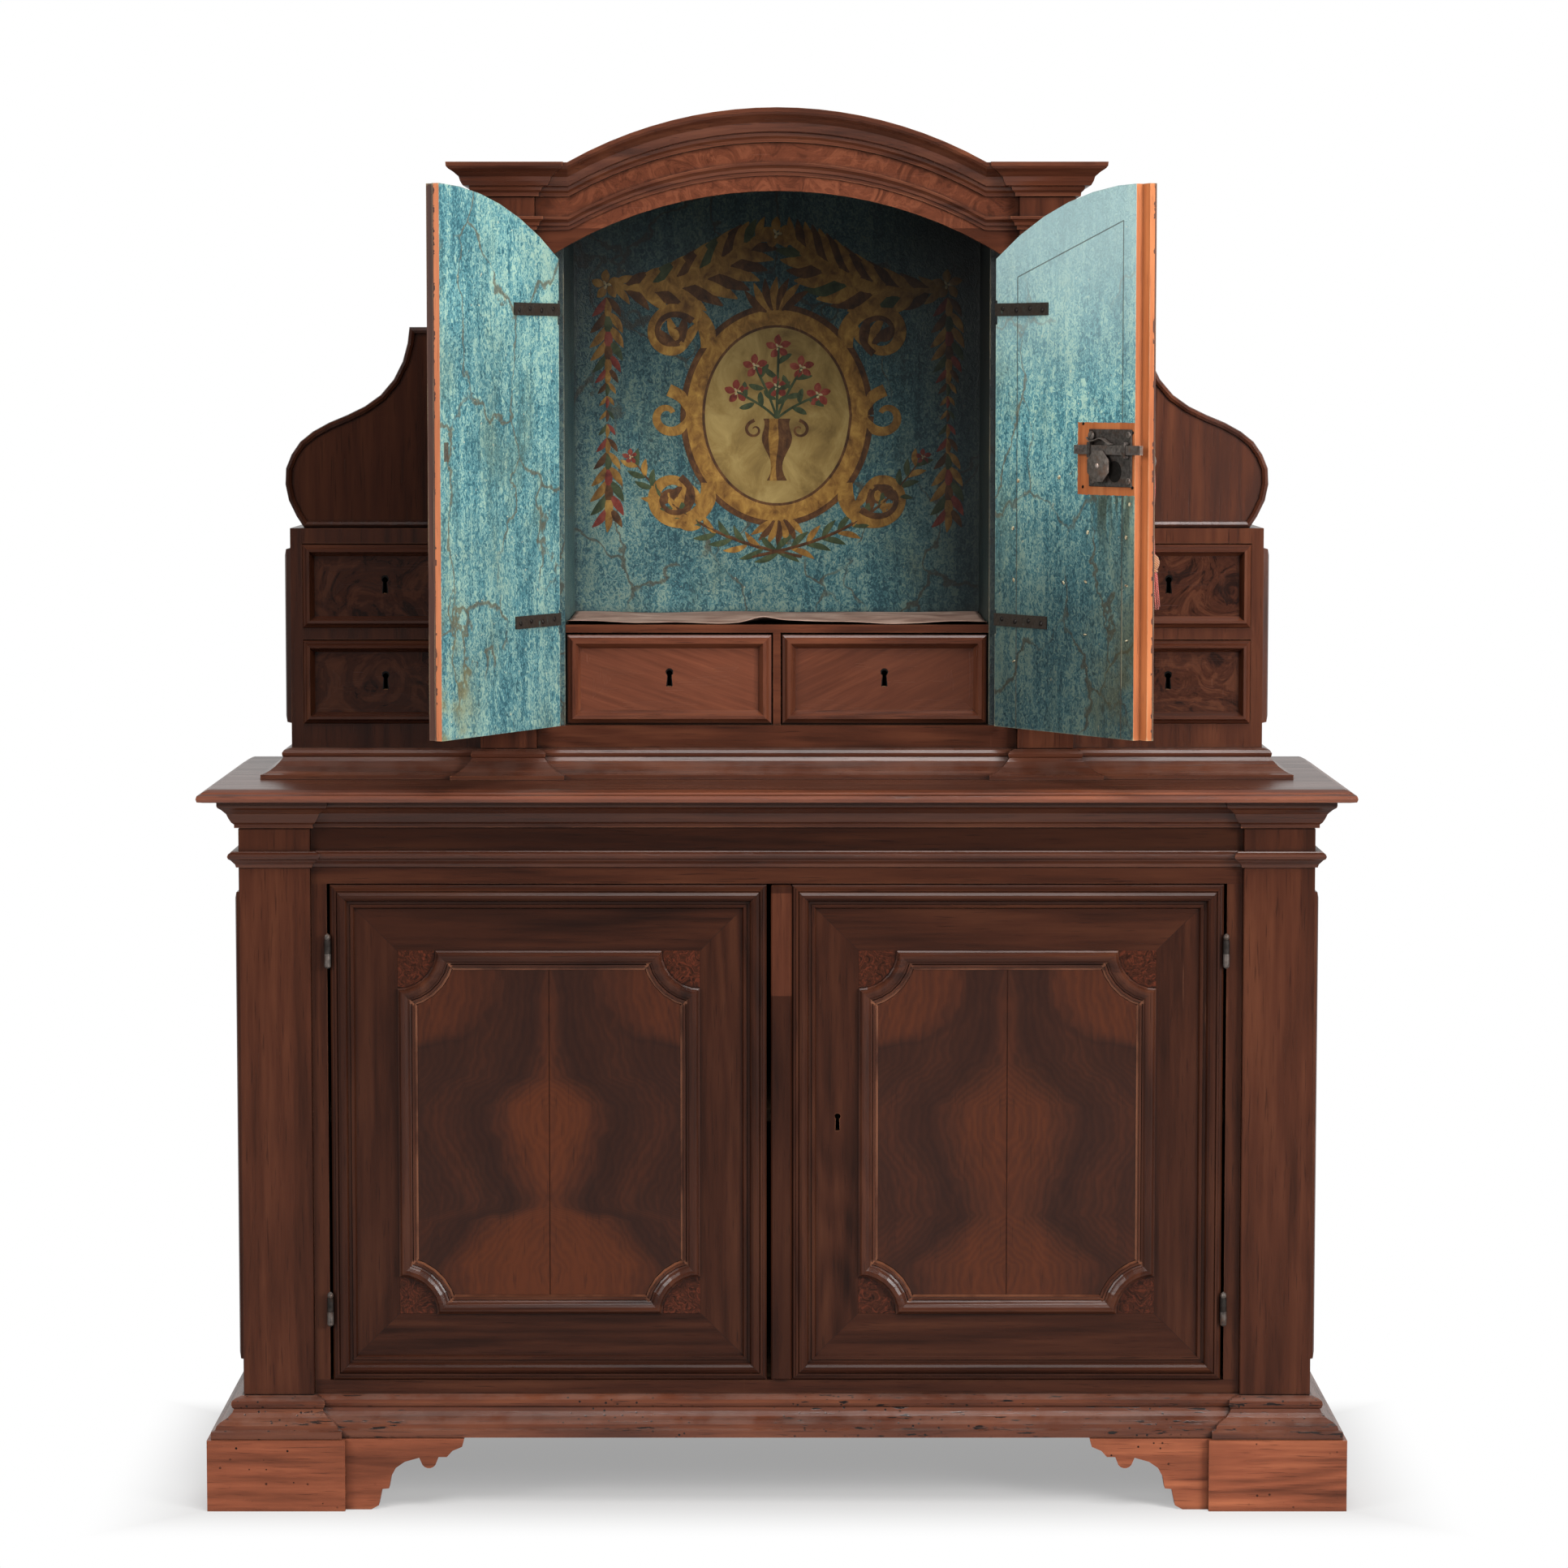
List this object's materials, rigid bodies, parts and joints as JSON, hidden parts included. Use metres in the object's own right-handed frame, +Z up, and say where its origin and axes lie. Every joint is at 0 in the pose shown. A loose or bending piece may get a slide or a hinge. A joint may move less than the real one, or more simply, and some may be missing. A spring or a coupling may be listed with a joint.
{
  "type": "two-part credenza",
  "caption": "Walnut cupboard on bracket feet with panelled doors, topped by an arched painted niche with doors, flanking drawers and scrolled wings.",
  "frame": {"origin": "middle of the bounding box, on the floor", "axes": "+Z up, the front faces -Y, +X to the right of the front"},
  "size_m": [1.658, 0.699, 2.0227],
  "materials": {
    "walnut": "waxed, worn",
    "walnut_dark": "waxed, worm-eaten",
    "poplar": "bare",
    "blue_paint": "distemper paint with brown marbled veins, worn",
    "iron": "forged, dark",
    "worn_steel": "rubbed bright",
    "red_thread": "silk"
  },
  "bodies": {
    "carcass": {"arch_architrave": "walnut", "arch_cornice": "walnut", "arch_head": "walnut", "base_moulding": "walnut_dark", "bottom_board": "walnut_dark", "foot_front_left": "walnut_dark", "foot_front_right": "walnut_dark", "foot_rear_left": "walnut_dark", "foot_rear_right": "walnut_dark", "lower_astragal": "walnut", "lower_back": "walnut_dark", "lower_cornice": "walnut", "lower_face_frame": "walnut", "lower_pilaster_left": "walnut", "lower_pilaster_right": "walnut", "lower_shelf": "walnut_dark", "lower_side_left": "walnut", "lower_side_right": "walnut", "niche_floor": "poplar", "niche_shelf": "walnut", "niche_wall_left": "blue_paint", "niche_wall_right": "blue_paint", "painted_back": "blue_paint", "roof_board": "walnut", "scroll_wing_left": "walnut", "scroll_wing_right": "walnut", "side_case_left": "walnut", "side_case_right": "walnut", "tabernacle_side_left": "walnut", "tabernacle_side_right": "walnut", "upper_pilaster_left": "walnut", "upper_pilaster_right": "walnut", "upper_plinth": "walnut_dark", "worktop": "walnut"},
    "lower_door_left": {"lower_door_left": "walnut", "lower_panel_moulding_left": "walnut", "lower_hinge_left_low": "iron", "lower_hinge_left_high": "iron"},
    "lower_door_right": {"lower_door_right": "walnut", "lower_panel_moulding_right": "walnut", "meeting_batten": "walnut_dark", "lower_hinge_right_low": "iron", "lower_hinge_right_high": "iron"},
    "upper_door_left": {"upper_door_left": "blue_paint", "strap_left_low": "iron", "strap_left_high": "iron"},
    "upper_door_right": {"upper_door_right": "blue_paint", "lock_plate": "iron", "strap_right_low": "iron", "strap_right_high": "iron"},
    "lock_bolt": {"lock_bolt": "worn_steel"},
    "key": {"key": "iron"},
    "tassel": {"tassel": "red_thread"},
    "inner_drawer_left": {"inner_drawer_left": "walnut"},
    "inner_drawer_right": {"inner_drawer_right": "walnut"},
    "side_drawer_left_low": {"side_drawer_left_low": "walnut"},
    "side_drawer_left_high": {"side_drawer_left_high": "walnut"},
    "side_drawer_right_low": {"side_drawer_right_low": "walnut"},
    "side_drawer_right_high": {"side_drawer_right_high": "walnut"}
  },
  "joints": [
    {"name": "lower_door_left_swing", "type": "hinge", "parent": "carcass", "child": "lower_door_left", "pos_m": [-0.6479, -0.19366, 0.55], "axis": [0, 0, -1], "range_deg": [0, 100]},
    {"name": "lower_door_right_swing", "type": "hinge", "parent": "carcass", "child": "lower_door_right", "pos_m": [0.6479, -0.19366, 0.55], "axis": [0, 0, 1], "range_deg": [0, 100]},
    {"name": "upper_door_left_swing", "type": "hinge", "parent": "carcass", "child": "upper_door_left", "pos_m": [-0.338, -0.03516, 1.5], "axis": [0, 0, -1], "range_deg": [-117.6, 0]},
    {"name": "upper_door_right_swing", "type": "hinge", "parent": "carcass", "child": "upper_door_right", "pos_m": [0.338, -0.03516, 1.5], "axis": [0, 0, 1], "range_deg": [-123.4, 0]},
    {"name": "inner_drawer_left_slide", "type": "slide", "parent": "carcass", "child": "inner_drawer_left", "axis": [0, -1, 0], "range_m": [0, 0.18]},
    {"name": "inner_drawer_right_slide", "type": "slide", "parent": "carcass", "child": "inner_drawer_right", "axis": [0, -1, 0], "range_m": [0, 0.18]},
    {"name": "side_drawer_left_low_slide", "type": "slide", "parent": "carcass", "child": "side_drawer_left_low", "axis": [0, -1, 0], "range_m": [0, 0.145]},
    {"name": "side_drawer_left_high_slide", "type": "slide", "parent": "carcass", "child": "side_drawer_left_high", "axis": [0, -1, 0], "range_m": [0, 0.145]},
    {"name": "side_drawer_right_low_slide", "type": "slide", "parent": "carcass", "child": "side_drawer_right_low", "axis": [0, -1, 0], "range_m": [0, 0.145]},
    {"name": "side_drawer_right_high_slide", "type": "slide", "parent": "carcass", "child": "side_drawer_right_high", "axis": [0, -1, 0], "range_m": [0, 0.145]},
    {"name": "key_turn", "type": "hinge", "parent": "upper_door_right", "child": "key", "pos_m": [0.47012, -0.23553, 1.514], "axis": [0.8348, 0.5505, 0], "range_deg": [0, 90]},
    {"name": "bolt_slide", "type": "slide", "parent": "upper_door_right", "child": "lock_bolt", "axis": [-0.5505, 0.8348, 0], "range_m": [0, 0.012]},
    {"name": "tassel_hang", "type": "hinge", "parent": "key", "child": "tassel", "pos_m": [0.53022, -0.19589, 1.514], "axis": [0.8348, 0.5505, 0], "range_deg": [-90, 0]}
  ],
  "couplings": [
    {"joint": "key_turn", "follows": "bolt_slide", "rad_per_m": 130.9},
    {"joint": "tassel_hang", "follows": "bolt_slide", "rad_per_m": -130.9}
  ]
}
